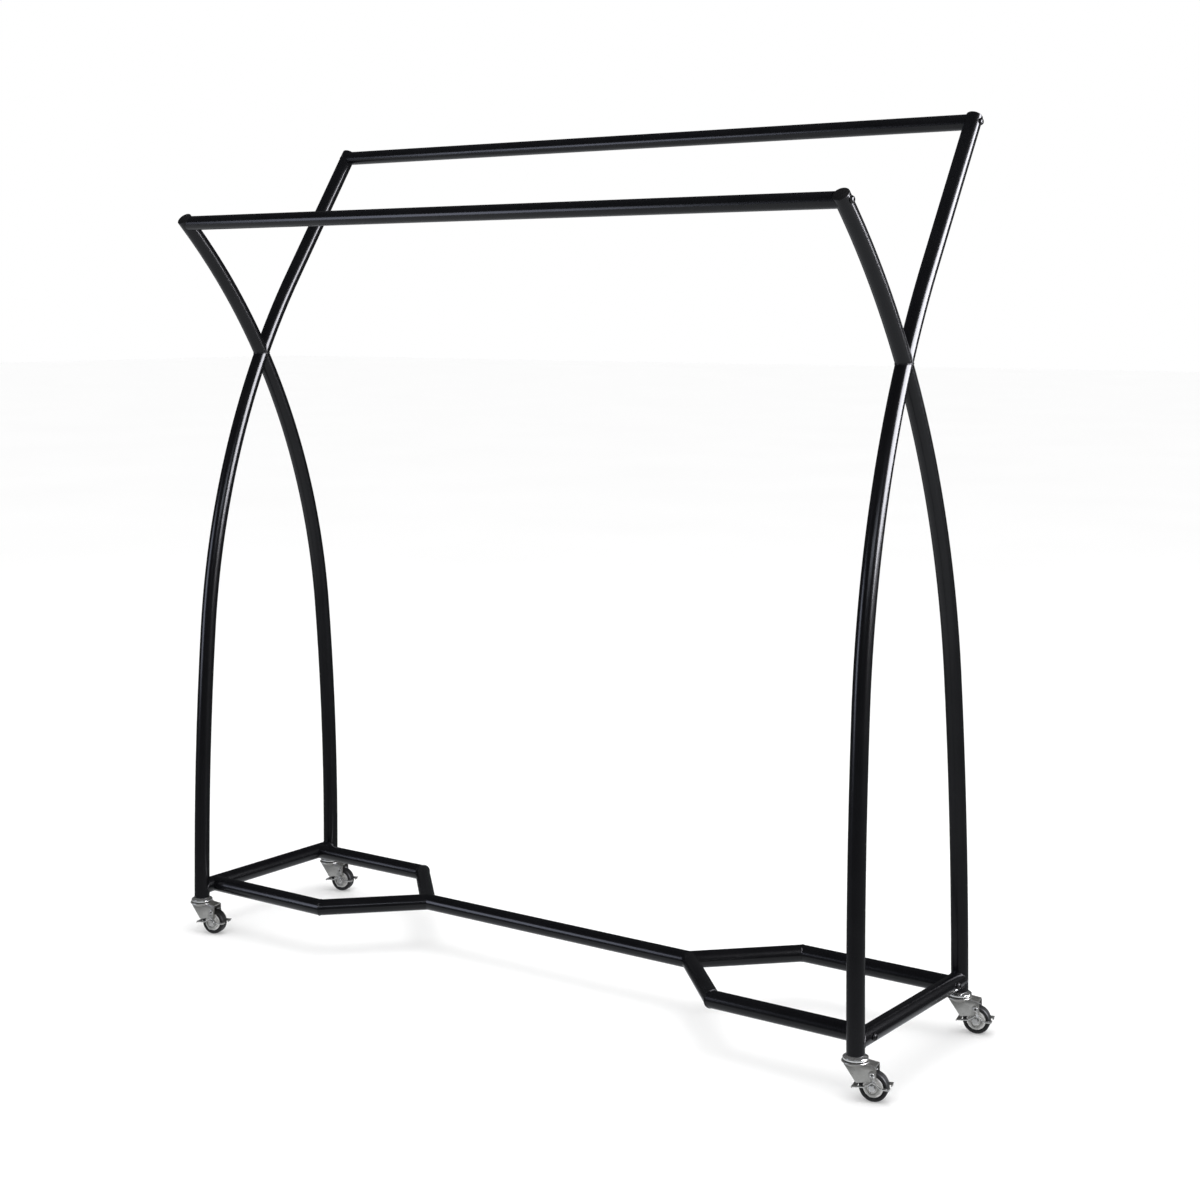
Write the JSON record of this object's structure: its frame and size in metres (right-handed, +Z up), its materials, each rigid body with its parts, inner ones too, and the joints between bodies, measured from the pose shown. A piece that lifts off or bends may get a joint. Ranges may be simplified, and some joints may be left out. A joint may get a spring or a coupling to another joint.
{
  "type": "rolling clothes rack",
  "caption": "Garment rack of black steel tube: crossed curved legs at each end, a low front rail, a higher rear rail, a bolted base and braked swivel casters.",
  "frame": {"origin": "centre of the footprint, on the floor under the wheels", "axes": "+X along the hanging rails, -Y towards the lower front rail, +Z up"},
  "size_m": [1.6684, 0.535, 1.6977],
  "materials": {
    "black_powder_coat": "satin black powder coat on steel tube",
    "black_screw": "black oxide screws",
    "black_plastic": "moulded black plastic",
    "bright_zinc": "bright zinc-plated pressed steel",
    "plain_steel": "zinc-plated turned steel",
    "white_plastic": "moulded pale plastic wheel centre",
    "black_rubber": "solid black rubber tyre"
  },
  "bodies": {
    "frame": {"left_main_leg": "black_powder_coat", "left_rear_lower_leg": "black_powder_coat", "left_front_upper_leg": "black_powder_coat", "left_cross_tube": "black_powder_coat", "right_main_leg": "black_powder_coat", "right_rear_lower_leg": "black_powder_coat", "right_front_upper_leg": "black_powder_coat", "right_cross_tube": "black_powder_coat", "front_rail": "black_powder_coat", "rear_rail": "black_powder_coat", "base_center_bar": "black_powder_coat", "base_diagonal_front_left": "black_powder_coat", "base_diagonal_rear_left": "black_powder_coat", "base_diagonal_front_right": "black_powder_coat", "base_diagonal_rear_right": "black_powder_coat", "base_side_front_left": "black_powder_coat", "base_side_rear_left": "black_powder_coat", "base_side_front_right": "black_powder_coat", "base_side_rear_right": "black_powder_coat", "rail_bolts": "black_screw", "rail_end_plugs": "plain_steel", "base_bolts": "black_screw", "base_end_plugs": "plain_steel", "leg_tip_caps": "black_plastic", "caster_inserts": "black_plastic", "caster_races": "bright_zinc", "caster_stems": "plain_steel", "race_balls": "plain_steel"},
    "front_left_swivel": {"front_left_fork": "bright_zinc", "front_left_axle_bolt": "plain_steel", "front_left_axle_nut": "plain_steel", "front_left_axle_bush": "plain_steel", "front_left_brake_eyelets": "plain_steel"},
    "front_left_wheel": {"front_left_wheel_core": "white_plastic", "front_left_tyre": "black_rubber"},
    "front_left_brake": {"front_left_brake_lever": "bright_zinc"},
    "front_right_swivel": {"front_right_fork": "bright_zinc", "front_right_axle_bolt": "plain_steel", "front_right_axle_nut": "plain_steel", "front_right_axle_bush": "plain_steel", "front_right_brake_eyelets": "plain_steel"},
    "front_right_wheel": {"front_right_wheel_core": "white_plastic", "front_right_tyre": "black_rubber"},
    "front_right_brake": {"front_right_brake_lever": "bright_zinc"},
    "rear_left_swivel": {"rear_left_fork": "bright_zinc", "rear_left_axle_bolt": "plain_steel", "rear_left_axle_nut": "plain_steel", "rear_left_axle_bush": "plain_steel", "rear_left_brake_eyelets": "plain_steel"},
    "rear_left_wheel": {"rear_left_wheel_core": "white_plastic", "rear_left_tyre": "black_rubber"},
    "rear_left_brake": {"rear_left_brake_lever": "bright_zinc"},
    "rear_right_swivel": {"rear_right_fork": "bright_zinc", "rear_right_axle_bolt": "plain_steel", "rear_right_axle_nut": "plain_steel", "rear_right_axle_bush": "plain_steel", "rear_right_brake_eyelets": "plain_steel"},
    "rear_right_wheel": {"rear_right_wheel_core": "white_plastic", "rear_right_tyre": "black_rubber"},
    "rear_right_brake": {"rear_right_brake_lever": "bright_zinc"}
  },
  "joints": [
    {"name": "front_left_swivel_turn", "type": "hinge", "parent": "frame", "child": "front_left_swivel", "pos_m": [-0.80994, -0.20614, 0.06715], "axis": [0, 0, 1], "continuous": true},
    {"name": "front_left_wheel_spin", "type": "hinge", "parent": "front_left_swivel", "child": "front_left_wheel", "pos_m": [-0.77889, -0.1984, 0.025], "axis": [-0.2419, 0.9703, 0], "continuous": true},
    {"name": "front_left_brake_rock", "type": "hinge", "parent": "front_left_swivel", "child": "front_left_brake", "pos_m": [-0.77889, -0.1984, 0.047], "axis": [-0.2419, 0.9703, 0], "range_deg": [0, 6]},
    {"name": "front_right_swivel_turn", "type": "hinge", "parent": "frame", "child": "front_right_swivel", "pos_m": [0.77006, -0.20614, 0.06715], "axis": [0, 0, 1], "continuous": true},
    {"name": "front_right_wheel_spin", "type": "hinge", "parent": "front_right_swivel", "child": "front_right_wheel", "pos_m": [0.80111, -0.1984, 0.025], "axis": [-0.2419, 0.9703, 0], "continuous": true},
    {"name": "front_right_brake_rock", "type": "hinge", "parent": "front_right_swivel", "child": "front_right_brake", "pos_m": [0.80111, -0.1984, 0.047], "axis": [-0.2419, 0.9703, 0], "range_deg": [0, 6]},
    {"name": "rear_left_swivel_turn", "type": "hinge", "parent": "frame", "child": "rear_left_swivel", "pos_m": [-0.80994, 0.19136, 0.06715], "axis": [0, 0, 1], "continuous": true},
    {"name": "rear_left_wheel_spin", "type": "hinge", "parent": "rear_left_swivel", "child": "rear_left_wheel", "pos_m": [-0.77889, 0.1991, 0.025], "axis": [-0.2419, 0.9703, 0], "continuous": true},
    {"name": "rear_left_brake_rock", "type": "hinge", "parent": "rear_left_swivel", "child": "rear_left_brake", "pos_m": [-0.77889, 0.1991, 0.047], "axis": [-0.2419, 0.9703, 0], "range_deg": [0, 6]},
    {"name": "rear_right_swivel_turn", "type": "hinge", "parent": "frame", "child": "rear_right_swivel", "pos_m": [0.77006, 0.19136, 0.06715], "axis": [0, 0, 1], "continuous": true},
    {"name": "rear_right_wheel_spin", "type": "hinge", "parent": "rear_right_swivel", "child": "rear_right_wheel", "pos_m": [0.80111, 0.1991, 0.025], "axis": [-0.2419, 0.9703, 0], "continuous": true},
    {"name": "rear_right_brake_rock", "type": "hinge", "parent": "rear_right_swivel", "child": "rear_right_brake", "pos_m": [0.80111, 0.1991, 0.047], "axis": [-0.2419, 0.9703, 0], "range_deg": [0, 6]}
  ]
}
